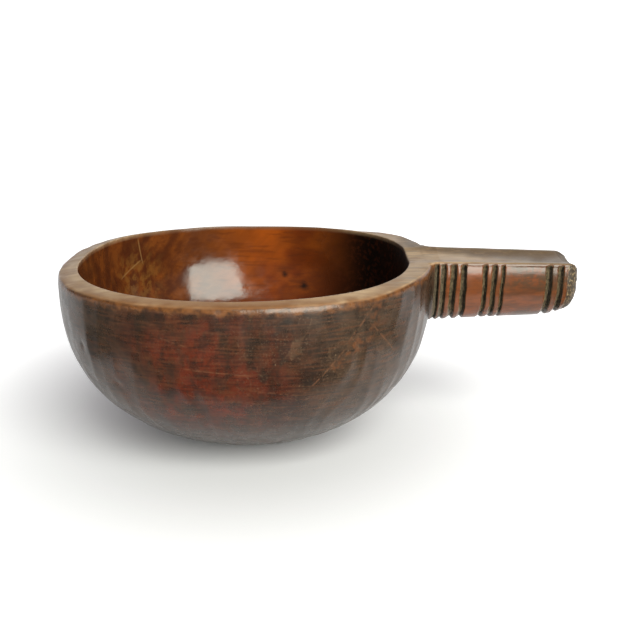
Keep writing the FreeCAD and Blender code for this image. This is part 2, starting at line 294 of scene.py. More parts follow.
def inner_wall(angle):
    """Loops down the inside, from the rim's inner edge to the middle of the floor."""
    radius = hollow_radius(angle)
    edge = top_height(radius * np.cos(angle), radius * np.sin(angle)) - INNER_EDGE
    floor_width = profile(1, HOLLOW_REACH)
    loops = []
    for depth in even_depths(HOLLOW_WIDTH, RIM - FLOOR, HOLLOW_REACH, INNER_LOOPS)[1:]:
        height = FLOOR + (edge - FLOOR) * (1 - depth)
        width = profile((RIM - height) / (RIM - FLOOR), HOLLOW_REACH)
        width = np.sqrt(np.clip((width ** 2 - floor_width ** 2) / (1 - floor_width ** 2), 0, 1))
        loops.append((radius * np.maximum(width, 0.02), height))
    return loops


def flutes(angle, height):
    """Shallow gouge cuts down the outside, each a few millimetres wide, meeting in low ridges."""
    drift = np.stack([4 * np.cos(angle), 4 * np.sin(angle), height / 22], -1)
    turn = angle / (2 * math.pi) * FLUTE_COUNT + 0.8 * noise(drift, 1.0, 11)
    cell = np.floor(turn)
    across = 2 * (turn - cell) - 1
    lengthwise = np.stack([np.mod(cell, FLUTE_COUNT), height / 19 + 0.37 * cell, 0 * height], -1)
    strength = 0.55 + 0.45 * noise(lengthwise, 1.0, 12)
    return strength * (1 - across ** 2)


def dents(points):
    """Depth of the small knocks in the outside, each given by its place and its width."""
    depth = 0
    for place, width, deep in DENTS:
        away = np.linalg.norm(points - np.array(place), axis=-1)
        depth = depth + deep * np.exp(-(away / width) ** 2)
    return depth


def carving(points, angle):
    """Depth of everything cut or worn into the outside. It ends at the foot."""
    height = points[..., 2]
    around = np.broadcast_to(angle, points.shape[:2])
    steep = np.hypot(points[..., 0], points[..., 1]) / HALF
    near_rim = smoothstep(0, 4, height.max() - height)
    depth = FLUTE_DEPTH * flutes(around, height) * steep * near_rim
    depth = depth + 0.14 * (1 + noise(points, 21, 5)) + 0.07 * (1 + noise(points, 6, 6))
    return (depth + dents(points)) * smoothstep(0.0, 3.0, height)


def edge_knocks(points, row):
    """Depth of the small knocks along the rim's worn edge. The rows are counted from its start."""
    near_edge = np.exp(-((row - 5.5) / 4.5) ** 2)
    return near_edge * (0.13 * (1 + noise(points, 5, 15)) + 0.04 * (1 + noise(points, 2.4, 16)))


def bowl_points():
    """The bowl's grid of points, row by row from the foot, over the rim, to the hollow's floor."""
    angle = np.linspace(0, 2 * math.pi, ANGLES, endpoint=False)
    outside = outer_wall(angle)
    rim = rim_loops(angle)
    inside = inner_wall(angle)
    rows = []
    for radius, height in outside + rim + inside:
        rows.append(np.stack([radius * np.cos(angle), radius * np.sin(angle), height], -1))
    points = np.array(rows)
    row = np.arange(len(points))[:, None] - len(outside)
    smoothed = 0.16 * noise(points, 19, 7) + 0.05 * noise(points, 8, 8)
    share = np.clip(1 - row / 10, 0, 1)  # the carving fades out over the worn edge
    move = np.where(row >= len(rim), smoothed, 0) - carving(points, angle) * share
    move = move - edge_knocks(points, row)
    return points + grid_normals(points) * move[..., None]


def grid_normals(points):
    """Outward normals of a grid whose columns go all the way round."""
    along = np.gradient(points, axis=0)
    around = np.roll(points, -1, axis=1) - np.roll(points, 1, axis=1)
    normals = np.cross(around, along)
    return normals / np.maximum(np.linalg.norm(normals, axis=-1, keepdims=True), 1e-9)


# ---------------- the handle's form
def side_half(x):
    """Half width of the handle, with a small flare where it leaves the wall."""
    flare = FLARE * np.clip((FLARE_END - x) / FLARE_LENGTH, 0, 1) ** 2
    return SIDE_HALF - SIDE_TAPER * (x - ROOT) + flare


def underside(x):
    """Height of the handle's lowest line, which rises faster towards the end."""
    return UNDERSIDE + UNDERSIDE_RISE * (x - ROOT) + END_RISE * max(0.0, x - END_RISE_START) ** 2


def outline(x):
    """The handle's section at one place: its top, two bulging sides and a round underside."""
    half = side_half(x)
    drop = WIDEST - underside(x)
    under = (half * (2 * SIDE_BULGE - half) - drop ** 2) / (2 * (SIDE_BULGE - drop))
    inward = SIDE_BULGE - half
    fall = math.atan2(drop - under, inward)
    crest = float(top_height(np.array(x), np.array(BESIDE_TROUGH)))
    rise = math.asin(min(0.9, (crest - WIDEST) / SIDE_BULGE))
    corner = SIDE_BULGE * math.cos(rise) - inward
    lip_turn = LIP / SIDE_BULGE

    y_top = np.linspace(corner - LIP, -(corner - LIP), RING["top"])
    top = np.stack([y_top, top_height(np.full_like(y_top, x), y_top)], -1)
    turn = np.linspace(rise - lip_turn, -fall, RING["side"])
    side = np.stack([SIDE_BULGE * np.cos(turn) - inward, WIDEST + SIDE_BULGE * np.sin(turn)], -1)
    turn = np.linspace(-fall, -math.pi + fall, RING["bottom"])[1:-1]
    middle = WIDEST - drop + under
    bottom = np.stack([under * np.cos(turn), middle + under * np.sin(turn)], -1)
    part = np.linspace(0, 1, RING["lip"])[1:-1, None]
    tip = np.array([corner, crest])
    lip = (1 - part) ** 2 * top[0] + 2 * part * (1 - part) * tip + part ** 2 * side[0]
    mirror = np.array([-1, 1])
    return np.concatenate([top, lip * mirror, side * mirror, bottom[::-1], side[::-1], lip[::-1]])


def groove_cut(x, below, place):
    """Depth of the carved grooves: V cuts across the sides and the underside, fading at the top."""
    cut = np.zeros_like(below)
    flank = np.zeros_like(below)
    for number, (middle, half) in enumerate(GROOVES):
        offset = (x - middle) / half - GROOVE_SKEW
        slope = 1 - GROOVE_SKEW if offset > 0 else 1 + GROOVE_SKEW
        shape = max(0.0, 1 - abs(offset) / slope)
        shape = (1 + GROOVE_WEAR) * shape ** 2 / (shape + GROOVE_WEAR)
        fade = smoothstep(0.2, 1.9, below) * (1 - 0.45 * smoothstep(14, 21, below))
        rough = 1 + 0.16 * noise(place + 31 * number, 2.6, 20 + number)
        rough = rough + 0.12 * noise(place, 1.1, 30 + number)
        cut = np.maximum(cut, half * GROOVE_STEEPNESS * shape * fade * rough)
        # the steep side, which the material paints black with shade and grime
        start = 0.35 * noise(place, 1.6, 50 + number)
        flank = np.maximum(flank, (offset >= start) & (offset <= slope))
    return cut, flank


def groove_wander(x, place):
    """How far a groove strays from its plane as it goes round the handle."""
    start, stop = GROOVE_STOPS
    anchors = [start, GROOVES[0][0], DIVISION] + [middle for middle, _ in GROOVES[2:]] + [stop]
    lower = max(0, min(len(anchors) - 2, int(np.searchsorted(anchors, x)) - 1))
    part = min(1.0, max(0.0, (x - anchors[lower]) / (anchors[lower + 1] - anchors[lower])))

    def stray(number):
        """How far one anchor strays. The stops and the division between the pieces stay put."""
        if anchors[number] in (start, DIVISION, stop):
            return 0 * place[:, 0]
        return 0.30 * noise(place, 7, 40 + number) + 0.14 * noise(place, 2.2, 60 + number)

    return (1 - part) * stray(lower) + part * stray(lower + 1)


def handle_lines(start, stop, step):
    """Places of the handle's loops: close together in the grooves, wider apart between them."""
    lines = list(np.arange(start, stop, step))
    for middle, half in GROOVES:
        for offset in GROOVE_STEPS:
            lines.append(middle + offset * half)
    lines = sorted(line for line in lines if start <= line <= stop)
    kept = [lines[0]]
    for line in lines[1:]:
        if line - kept[-1] > CLOSEST_LOOPS:
            kept.append(line)
    return kept


def handle_loop(x):
    """One loop of the handle, with its grooves, its tool marks and its masks."""
    section = outline(x)
    ahead = np.roll(section, -1, axis=0) - np.roll(section, 1, axis=0)
    outward = np.stack([ahead[:, 1], -ahead[:, 0]], -1)
    outward = outward / np.linalg.norm(outward, axis=1, keepdims=True)
    place = np.column_stack([0 * section[:, 0], section])
    at = np.column_stack([np.full(len(section), x), section])
    crest = top_height(np.full(len(section), x), np.full(len(section), BESIDE_TROUGH))
    below = np.where(outward[:, 1] > 0.8, 0, crest - section[:, 1])
    cut, flank = groove_cut(x, below, place)
    is_side = smoothstep(0.3, 1.5, below)
    worn = is_side * (0.10 * (1 + noise(at, 9, 9)) + 0.04 * (1 + noise(at, 3.5, 10)))
    coarse = 0.14 * (1 + noise(at, 0.9, 13)) + 0.12 * (1 + noise(at, 2.2, 14))
    coarse = smoothstep(*END_ROUGH, x) * coarse
    section = section - outward * (cut + worn + coarse * smoothstep(0, 1.2, below))[:, None]
    along = x + groove_wander(x, place) * is_side
    points = np.column_stack([along, section])
    masks = {
        "top": 1 - smoothstep(0.1, 0.7, below),
        "below": np.clip(below, 0, FAR_BELOW),
        "groove": np.clip(cut / GROOVE_STEEPNESS, 0, 1.2),
        "flank": flank,
    }
    return points, masks


def end_loops(last):
    """Loops round the handle's end, shrinking from its last full loop to its middle."""
    loops = []
    for turn in np.linspace(0, math.pi / 2, 22)[1:]:
        scale = 1 - END_SHRINK * (1 - math.cos(turn)) ** 1.15
        loops.append((HANDLE_END - END_ROUND * (1 - math.sin(turn)) - END_FLAT, scale))
    for scale in np.linspace(END_FACE, 0.02, 16)[1:]:
        loops.append((HANDLE_END - END_FLAT + 0.3 * (1 - (scale / END_FACE) ** 2), scale))
    middle = np.array([0, END_MIDDLE])
    start = last[:, 0].mean()
    made = []
    for x, scale in loops:
        section = middle + (last[:, 1:] - middle) * scale
        at = np.column_stack([np.full(len(section), x), section])
        rough = 0.20 * (1 + noise(at, 0.9, 13)) + 0.20 * (1 + noise(at, 2.4, 14))
        share = smoothstep(start, start + 1.5, x)
        made.append(np.column_stack([x - share * rough, section]))
    return made


# ---------------- meshes
def tube_mesh(name, loops):
    """A closed mesh from loops of points, with a fan of triangles over each end."""
    loops = np.asarray(loops)
    count, width = loops.shape[:2]
    vertices = np.concatenate([loops.reshape(-1, 3), [loops[0].mean(0)], [loops[-1].mean(0)]])
    faces = []
    for row in range(count - 1):
        for column in range(width):
            after = (column + 1) % width
            faces.append((row * width + column, row * width + after,
                          (row + 1) * width + after, (row + 1) * width + column))
    first, last = count * width, count * width + 1
    for column in range(width):
        after = (column + 1) % width
        faces.append((first, after, column))
        faces.append((last, (count - 1) * width + column, (count - 1) * width + after))
    mesh = bpy.data.meshes.new(name)
    mesh.from_pydata((vertices * MM).tolist(), [], faces)
    work = bmesh.new()
    work.from_mesh(mesh)
    bmesh.ops.recalc_face_normals(work, faces=work.faces)
    work.to_mesh(mesh)
    work.free()
    return add_object(name, mesh)


def add_object(name, data):
    """A new object in the scene."""
    thing = bpy.data.objects.new(name, data)
    bpy.context.scene.collection.objects.link(thing)
    return thing


def join_solid(piece, tool):
    """Unite two closed meshes into one, and remove the second."""
    union = piece.modifiers.new("union", "BOOLEAN")
    union.operation = "UNION"
    union.solver = "EXACT"
    union.object = tool
    ready = piece.evaluated_get(bpy.context.evaluated_depsgraph_get())
    mesh = bpy.data.meshes.new_from_object(ready)
    piece.modifiers.clear()
    piece.data = mesh
    bpy.data.objects.remove(tool)


def store_masks(piece, masks):
    """Keep the masks on the mesh, where the material reads them."""
    for name, values in masks.items():
        attribute = piece.data.attributes.new(name, "FLOAT", "POINT")
        attribute.data.foreach_set("value", np.asarray(values, np.float32))


def soften(piece, angle=38):
    """Smooth shading, with the carved edges kept crisp."""
    mesh = piece.data
    mesh.shade_smooth()
    mesh.set_sharp_from_angle(angle=math.radians(angle))


def bowl_masks(piece):
    """Where the bowl's mesh is rim, hollow, groove or handle, from each point's place."""
    count = len(piece.data.vertices)
    points = np.empty(count * 3)
    piece.data.vertices.foreach_get("co", points)
    x, y, z = (points.reshape(-1, 3) / MM).T
    below = top_height(x, y) - z
    angle = np.arctan2(y, x)
    radius = np.hypot(x, y)
    outer = plan_radius(angle, HALF, HALF) * profile((RIM - z) / RIM, OUTER_REACH)
    inner = hollow_radius(angle) * profile((RIM - z) / (RIM - FLOOR), HOLLOW_REACH)
    middle = np.where(z > FLOOR - 1, 0.5 * (outer + inner), 0)
    inside = smoothstep(0.05, 0.4, below) * (radius < middle)
    on_handle = (radius > outer + 0.5) & (x > 60) & (np.abs(y) < 19) & (z > 40)
    grooves = np.zeros(count)
    flank = np.zeros(count)
    for groove, half in GROOVES[:2]:
        grooves = np.maximum(grooves, np.clip(1.2 - np.abs(x - groove) / half, 0, 1))
        # the steep side, which the material paints black with shade and grime
        offset = (x - groove) / half
        flank = np.maximum(flank, smoothstep(0.1, 0.4, offset) * smoothstep(1.1, 0.9, offset))
    return {
        "top": (1 - smoothstep(0.1, 0.7, below)) * (radius > hollow_radius(angle) - 0.1),
        "below": np.where(radius > middle, np.clip(below, 0, FAR_BELOW), FAR_BELOW),
        "inside": inside,
        "groove": grooves * on_handle * smoothstep(0.2, 1.9, below),
        "flank": flank * on_handle,
        "handle": on_handle * smoothstep(0.3, 1.5, below),
        "rough": np.zeros(count),
    }


def make_bowl():
    """The bowl and the root of the handle, united into one closed mesh."""
    bowl = tube_mesh("bowl_body", bowl_points())
    loops = []
    for x in handle_lines(ROOT_START, DIVISION, 0.4) + [DIVISION]:
        points, _ = handle_loop(x)
        sink = 1.2 * (1 - smoothstep(ROOT_START, 62.6, x)) - 0.03
        is_top = smoothstep(2.5, 0.5, top_height(points[:, 0], points[:, 1]) - points[:, 2])
        points[:, 2] -= sink * is_top
        loops.append(points)
    root = tube_mesh("handle_root", loops)
    join_solid(bowl, root)
    store_masks(bowl, bowl_masks(bowl))
    soften(bowl)
    return bowl


def make_handle():
    """The handle from the division to its rough end."""
    loops = []
    masks = {"top": [], "below": [], "groove": [], "flank": [], "rough": []}
    for x in handle_lines(DIVISION, HANDLE_END - END_ROUND, 0.3):
        points, loop_masks = handle_loop(x)
        loops.append(points)
        for name, values in loop_masks.items():
            masks[name].append(values)
        masks["rough"].append(np.full(len(points), float(smoothstep(*END_LOOK, x))))
    for points in end_loops(loops[-1]):
        for name, share in (("top", 0.9), ("below", 1), ("groove", 0), ("flank", 0)):
            masks[name].append(masks[name][-1] * share)
        masks["rough"].append(np.ones(len(points)))
        loops.append(points)
    handle = tube_mesh("handle_grip", loops)
    ends = {"top": (0, 0), "below": (FAR_BELOW, FAR_BELOW), "groove": (1, 0),
            "flank": (0, 0), "rough": (0, 1)}  # the middle points of the two end faces
    stored = {}
    for name, rows in masks.items():
        stored[name] = np.concatenate([np.concatenate(rows), ends[name]])
    stored["inside"] = np.zeros(len(handle.data.vertices))
    stored["handle"] = np.ones(len(handle.data.vertices))
    store_masks(handle, stored)
    soften(handle)
    return handle


# ---------------- the wood's colours, as linear RGB
OUTSIDE = dict(
    dark=(0.018, 0.008, 0.004),
    brown=(0.041, 0.016, 0.007),
    grey=(0.046, 0.027, 0.016),
    red=(0.094, 0.013, 0.004),
    blotch=(0.015, 0.009, 0.006),
    mottle=(0.017, 0.01, 0.006),
    foot=(0.026, 0.018, 0.013),
    pale_fibre=(0.09, 0.03, 0.012),
    dark_fibre=(0.012, 0.007, 0.005),
    worn_spot=(0.13, 0.04, 0.011),
    dust=(0.135, 0.085, 0.05),
    chip=(0.26, 0.16, 0.09),
    hair=(0.13, 0.07, 0.035),
    scratch=(0.15, 0.06, 0.028),
    worn_dark=(0.075, 0.028, 0.01),
    worn_pale=(0.155, 0.056, 0.016),
    # painted shade in the corner where the handle leaves the wall
    corner=(0.018, 0.01, 0.005),
)
INSIDE = dict(
    amber=(0.16, 0.026, 0.004),
    pale_amber=(0.29, 0.058, 0.006),
    yellow=(0.138, 0.04, 0.009),
    brown=(0.05, 0.012, 0.006),
    mottle=(0.06, 0.016, 0.005),
    fan=(0.2, 0.08, 0.018),
    # painted shade in the hollow beside the handle, going to black
    shade=(0.055, 0.015, 0.004),
    black=(0.003, 0.0018, 0.0012),
    grain=(0.07, 0.016, 0.005),
    knot=(0.012, 0.006, 0.004),
    scratch=(0.33, 0.17, 0.06),
)
UPPER = dict(
    # the upper surface: wood colour with a painted sheen in it, pale and greyish
    straw=(0.46, 0.3, 0.18),
    brown=(0.35, 0.215, 0.122),
    stain=(0.21, 0.1, 0.042),
    front=(0.22, 0.09, 0.032),
    far=(0.105, 0.04, 0.018),
    rim_edge=(0.17, 0.062, 0.019),
    cool=(0.2, 0.155, 0.125),
    # the trough's far side: grime with painted shade
    olive=(0.07, 0.036, 0.011),
    pale_olive=(0.17, 0.095, 0.036),
    end=(0.115, 0.062, 0.024),
)
HANDLE = dict(
    polished=(0.135, 0.036, 0.009),
    wisp=(0.058, 0.024, 0.011),
    orange=(0.185, 0.042, 0.007),
    grain=(0.058, 0.02, 0.008),
    mottle=(0.05, 0.028, 0.014),
    worn=(0.11, 0.062, 0.04),
    lip=(0.085, 0.032, 0.017),
    grime=(0.032, 0.023, 0.013),
    pale_grime=(0.112, 0.08, 0.044),
    # grime with painted shade, on the steep side of each groove
    black_shade_and_grime=(0.008, 0.006, 0.004),
    # edge wear with painted highlights, on the edges of the grooves
    groove_edge_wear_and_glint=(0.23, 0.15, 0.08),
    end=(0.022, 0.014, 0.007),
    end_chip=(0.22, 0.15, 0.075),
)

BOWL_GLOSS = 0.22  # the least roughness of each piece's wood
HANDLE_GLOSS = 0.12

# where the colours change, in millimetres; a patch has a middle and the radii where it fades
RED_PATCH = ((-9, -60, 40), 9, 40)
DUST_PATCH = ((26, -60, 42), 6, 42)  # dusty and scratched
FAN_PATCH = ((-46, 36, 48), 3, 19)  # a pale fan of grain on the inside
RIM_FRONT = ((-4, -64, 64), 12, 46)  # the rim is browner here: a painted lack of sheen
RIM_FAR = ((-6, 64, 64), 24, 62)  # and darker here: a painted lack of sheen
ROOT_SHADE = ((62, -18, 52), 3, 12)  # painted shade where the handle leaves the wall
OLIVE_START = 66.0  # on the handle's top, the olive side's border slants from here
OLIVE_BORDER = 8.0
OLIVE_SLANT = 0.31


# ---------------- materials
def add_node(tree, kind, values=None, **settings):
    """A node with its settings, and with numbers or links put into its inputs."""
    node = tree.nodes.new("ShaderNode" + kind)
    for name, setting in settings.items():
        setattr(node, name, setting)
    for key, value in (values or {}).items():
        if isinstance(value, bpy.types.NodeSocket):
            tree.links.new(value, node.inputs[key])
        else:
            node.inputs[key].default_value = value
    return node


def maths(tree, operation, first, second=0.0):
    """One sum on two values, each a number or a socket."""
    return add_node(tree, "Math", {0: first, 1: second}, operation=operation).outputs[0]


def ramp_up(tree, value, low, high):
    """0 below low, 1 above high, and smooth between. Low above high turns it round."""
    values = {"Value": value, "From Min": low, "From Max": high}
    return add_node(tree, "MapRange", values, interpolation_type="SMOOTHSTEP").outputs[0]


def spread(tree, value, low, high):
    """A value from 0 to 1 stretched to go from low to high."""
    return add_node(tree, "MapRange", {"Value": value, "To Min": low, "To Max": high}).outputs[0]


def times(tree, *factors):
    """The product of all the factors."""
    product = factors[0]
    for factor in factors[1:]:
        product = maths(tree, "MULTIPLY", product, factor)
    return product


def blend(tree, factor, under, over):
    """The colour over laid on the colour under, as far as the factor says."""
    node = add_node(tree, "Mix", {0: factor}, data_type="RGBA")
    for number, colour in ((6, under), (7, over)):
        if isinstance(colour, bpy.types.NodeSocket):
            tree.links.new(colour, node.inputs[number])
        else:
            node.inputs[number].default_value = (*colour, 1)
    return node.outputs[2]


def paint(tree, colour, *layers):
    """Colours laid in turn over the first. Each comes with the factors that place it."""
    for over, *factors in layers:
        colour = blend(tree, times(tree, *factors), colour, over)
    return colour


def coordinate(tree, place, axis):
    """One coordinate of a place."""
    return add_node(tree, "SeparateXYZ", {0: place}).outputs[axis]


def speckle(tree, place, size, stretch=(1, 1, 1), detail=3.0, shift=0.0):
    """Smooth noise from 0 to 1, with features about as large as size."""
    scaled = add_node(tree, "VectorMath", {0: place, 1: [axis / size for axis in stretch]},
                      operation="MULTIPLY").outputs[0]
    moved = add_node(tree, "VectorMath", {0: scaled, 1: (shift, shift, shift)},
                     operation="ADD").outputs[0]
    return add_node(tree, "TexNoise", {"Vector": moved, "Scale": 1.0, "Detail": detail}).outputs[0]


def spots(tree, place, size, limits, stretch=(1, 1, 1), detail=3.0, shift=0.0):
    """Noise turned into patches: 0 below the first limit and 1 above the second."""
    return ramp_up(tree, speckle(tree, place, size, stretch, detail, shift), *limits)


def slanted(tree, place):
    """The place turned by 45 degrees, for grain that runs down the wall at a slant."""
    return add_node(tree, "VectorRotate", {"Vector": place, "Angle": math.pi / 4},
                    rotation_type="Y_AXIS").outputs[0]


def distance_to(tree, place, centre):
    """How far a place is from a point."""
    return add_node(tree, "VectorMath", {0: place, 1: centre}, operation="DISTANCE").outputs["Value"]


def patch(tree, place, centre, inner, outer):
    """1 near a point and 0 away from it."""
    return ramp_up(tree, distance_to(tree, place, centre), outer, inner)


def scratch(tree, place, centre, across, length, width):
    """A thin line through a point: where the surface meets a plane, near that point."""
    offset = add_node(tree, "VectorMath", {0: place, 1: centre}, operation="SUBTRACT").outputs[0]
    side = add_node(tree, "VectorMath", {0: offset, 1: Vector(across).normalized()},
                    operation="DOT_PRODUCT").outputs["Value"]
    thin = ramp_up(tree, maths(tree, "ABSOLUTE", side), width, 0.3 * width)
    return times(tree, thin, patch(tree, place, centre, 0.3 * length, 0.5 * length))


def mask(tree, name):
    """One of the masks stored on the mesh."""
    return add_node(tree, "Attribute", attribute_name=name).outputs["Fac"]


def outside_colour(tree, place):
    """Dark, stained and handled wood: red in front, greyer on both sides and towards the foot."""
    broad = speckle(tree, place, 15, detail=5)
    colour = blend(tree, ramp_up(tree, broad, 0.38, 0.6), OUTSIDE["dark"], OUTSIDE["brown"])
    aside = maths(tree, "ABSOLUTE", maths(tree, "ADD", coordinate(tree, place, "X"), 4))
    red = patch(tree, place, *RED_PATCH)
    columns = spots(tree, place, 6, (0.28, 0.62), (1, 1, 0.45), detail=7, shift=7)
    blotch = spots(tree, place, 4.5, (0.47, 0.66), (1, 1, 0.8), detail=6, shift=19)
    mottle = spots(tree, place, 2.0, (0.48, 0.66), (1, 1, 0.6), detail=5, shift=45)
    fibres = speckle(tree, place, 0.7, (0.1, 0.1, 1), detail=3, shift=3)
    colour = paint(
        tree, colour,
        (OUTSIDE["grey"], ramp_up(tree, aside, 14, 44), ramp_up(tree, broad, 0.2, 0.55), 0.85),
        (OUTSIDE["red"], red, columns, 0.85),
        (OUTSIDE["blotch"], blotch, 0.6),
        (OUTSIDE["mottle"], mottle, 0.45),
        (OUTSIDE["foot"], ramp_up(tree, coordinate(tree, place, "Z"), 30, 8), 0.55),
        (OUTSIDE["pale_fibre"], ramp_up(tree, fibres, 0.48, 0.68), 0.4),
        (OUTSIDE["dark_fibre"], ramp_up(tree, fibres, 0.48, 0.34), 0.45))
    ragged = spots(tree, place, 1.8, (0.42, 0.62), detail=6, shift=43)
    for centre, size in WORN_SPOTS:
        colour = paint(tree, colour,
                       (OUTSIDE["worn_spot"], patch(tree, place, centre, 0, size), ragged, 0.65))
    return colour


def outside_marks(tree, place, colour):
    """Pale dust in the pores, tiny chips and hair scratches, thickest right of the middle."""
    dense = times(tree, patch(tree, place, *DUST_PATCH),
                  spots(tree, place, 8, (0.3, 0.74), detail=6, shift=31))
    dust = spots(tree, place, 0.6, (0.54, 0.72), detail=3, shift=37)
    chip = spots(tree, place, 1.1, (0.76, 0.82), detail=1, shift=29)
    wander = speckle(tree, place, 9, (1, 1, 0.35), detail=1, shift=41)
    hair = maths(tree, "ABSOLUTE", maths(tree, "SUBTRACT", wander, 0.5))
    colour = paint(
        tree, colour,
        (OUTSIDE["dust"], dust, spread(tree, dense, 0.14, 0.5)),
        (OUTSIDE["chip"], chip, dense),
        (OUTSIDE["hair"], ramp_up(tree, hair, 0.007, 0.0), dense, 0.3))
    broken = spots(tree, place, 1.8, (0.38, 0.55), detail=2, shift=47)
    for line in SCRATCHES:
        colour = paint(tree, colour, (OUTSIDE["scratch"], scratch(tree, place, *line), broken, 0.4))
    return colour


def worn_edge(tree, place, colour):
    """The ragged orange-brown band where hands have worn the stain off below the upper surface."""
    ragged = times(tree, speckle(tree, place, 3.2, detail=5, shift=55), 5.0)
    depth = times(tree, mask(tree, "below"), maths(tree, "ADD", mask(tree, "handle"), 1.0))
    band = ramp_up(tree, maths(tree, "ADD", depth, ragged), 5.4, 3.6)
    patches = spots(tree, place, 2.0, (0.35, 0.65), detail=3, shift=58)
    tone = blend(tree, patches, OUTSIDE["worn_dark"], OUTSIDE["worn_pale"])
    tone = paint(tree, tone, (HANDLE["worn"], mask(tree, "handle"), 0.75))
    strength = maths(tree, "SUBTRACT", 0.85, times(tree, mask(tree, "handle"), 0.35))
    return paint(tree, colour, (tone, band, strength))


def inside_colour(tree, place):
    """Smooth amber wood, brown at the end away from the handle, and painted shade beside it."""
    along = coordinate(tree, place, "X")
    slant = slanted(tree, place)
    broad = spots(tree, place, 14, (0.38, 0.6), (0.6, 1, 1), detail=6, shift=51)
    colour = blend(tree, broad, INSIDE["amber"], INSIDE["pale_amber"])
    mottle = spots(tree, slant, 5, (0.32, 0.66), (0.35, 1, 1), detail=6, shift=53)
    fan = patch(tree, place, *FAN_PATCH)
    streaky = spots(tree, slant, 2.4, (0.42, 0.62), (0.2, 1, 1), detail=5, shift=57)
    grain = spots(tree, place, 1.6, (0.46, 0.68), (0.08, 1, 1), detail=4, shift=5)
    colour = paint(
        tree, colour,
        (INSIDE["yellow"], ramp_up(tree, along, 4, -26), 0.8),
        (INSIDE["brown"], ramp_up(tree, along, -6, -46), mottle, 0.9),
        (INSIDE["mottle"], mottle, 0.3),
        (INSIDE["fan"], fan, streaky, 0.6),
        # painted shade: darker towards the handle, and black beside it
        (INSIDE["shade"], ramp_up(tree, along, 2, 30), 0.55),
        (INSIDE["black"], ramp_up(tree, along, 20, 46)),
        (INSIDE["grain"], grain, 0.42))
    for centre, size in KNOTS:
        ragged = times(tree, speckle(tree, place, 1.2, (0.5, 1, 1), detail=3, shift=49), size)
        away = maths(tree, "ADD", distance_to(tree, place, centre), ragged)
        knot = ramp_up(tree, away, 1.6 * size, 0.6 * size)
        colour = paint(tree, colour, (INSIDE["knot"], knot, 0.92))
    for line in INSIDE_SCRATCHES:
        colour = paint(tree, colour, (INSIDE["scratch"], scratch(tree, place, *line), 0.38))
    return colour


def rim_outside(tree, place):
    """1 on the outer part of the rim's top, from the bowl's rounded-square outline inwards."""
    powers = []
    for axis in "XY":
        size = maths(tree, "ABSOLUTE", coordinate(tree, place, axis))
        powers.append(maths(tree, "POWER", size, SQUARENESS))
    radius = maths(tree, "POWER", maths(tree, "ADD", *powers), 1 / SQUARENESS)
    return ramp_up(tree, radius, HALF - 5.0, HALF - 1.2)


def top_colour(tree, place):
    """The rim's and the handle's upper surface: bare, handled, straw-brown wood with grey streaks,
    made pale and grey partly by a painted sheen.
    """
    along = coordinate(tree, place, "X")
    streak = spots(tree, place, 2.2, (0.36, 0.66), (0.12, 1, 1), detail=5, shift=9)
    # the pale, greyish tone is partly a painted sheen
    colour = blend(tree, streak, UPPER["straw"], UPPER["brown"])
    stain = spots(tree, place, 9, (0.46, 0.68), detail=5, shift=13)
    handled = spots(tree, place, 6, (0.25, 0.6), detail=5, shift=33)
    cool = spots(tree, place, 1.5, (0.54, 0.68), (0.1, 1, 1), detail=4, shift=15)
    colour = paint(
        tree, colour,
        (UPPER["stain"], stain, 0.55),
        # painted lack of sheen: browner in front, darker at the far side
        (UPPER["front"], patch(tree, place, *RIM_FRONT), 0.62),
        (UPPER["far"], patch(tree, place, *RIM_FAR), 0.8),
        (UPPER["rim_edge"], rim_outside(tree, place), handled, ramp_up(tree, along, 58, 40), 0.62),
        (UPPER["cool"], cool, ramp_up(tree, along, 34, 56), 0.5))
    return handle_top_colour(tree, place, along, colour)


def handle_top_colour(tree, place, along, colour):
    """The trough's far side is darker and olive-brown, over a line that slants towards the end: grime
    with painted shade.
    """
    slant = times(tree, maths(tree, "SUBTRACT", along, OLIVE_START), OLIVE_SLANT)
    border = maths(tree, "SUBTRACT", OLIVE_BORDER, slant)
    beyond = maths(tree, "SUBTRACT", coordinate(tree, place, "Y"), border)
    ragged = maths(tree, "SUBTRACT", speckle(tree, place, 5, (0.25, 1, 1), detail=5, shift=17), 0.5)
    beyond = maths(tree, "ADD", beyond, times(tree, ragged, 7.0))
    fleck = spots(tree, place, 1.4, (0.5, 0.7), (0.5, 1, 1), detail=3, shift=21)
    olive = blend(tree, fleck, UPPER["olive"], UPPER["pale_olive"])
    return paint(
        tree, colour,
        # the olive far side of the trough: grime with painted shade
        (olive, ramp_up(tree, beyond, -3.4, 3.8), ramp_up(tree, along, 52, 60), 0.78),
        (UPPER["end"], ramp_up(tree, along, 76, 108), 0.65))


def handle_colour(tree, place):
    """Polished orange-brown wood with darker wisps along the grain."""
    along = coordinate(tree, place, "X")
    wisp = spots(tree, place, 4, (0.32, 0.68), (0.35, 1, 1), detail=5, shift=23)
    colour = blend(tree, wisp, HANDLE["polished"], HANDLE["wisp"])
    grain = spots(tree, place, 0.9, (0.44, 0.64), (0.14, 1, 1), detail=4, shift=25)
    upper = ramp_up(tree, coordinate(tree, place, "Z"), 54, 60)
    mottle = spots(tree, place, 1.5, (0.38, 0.6), detail=5, shift=27)
    return paint(
        tree, colour,
        (HANDLE["orange"], ramp_up(tree, along, 98, 78), 0.42),
        (HANDLE["grain"], grain, 0.45),
        (HANDLE["mottle"], upper, ramp_up(tree, along, 78, 96), mottle, 0.75))


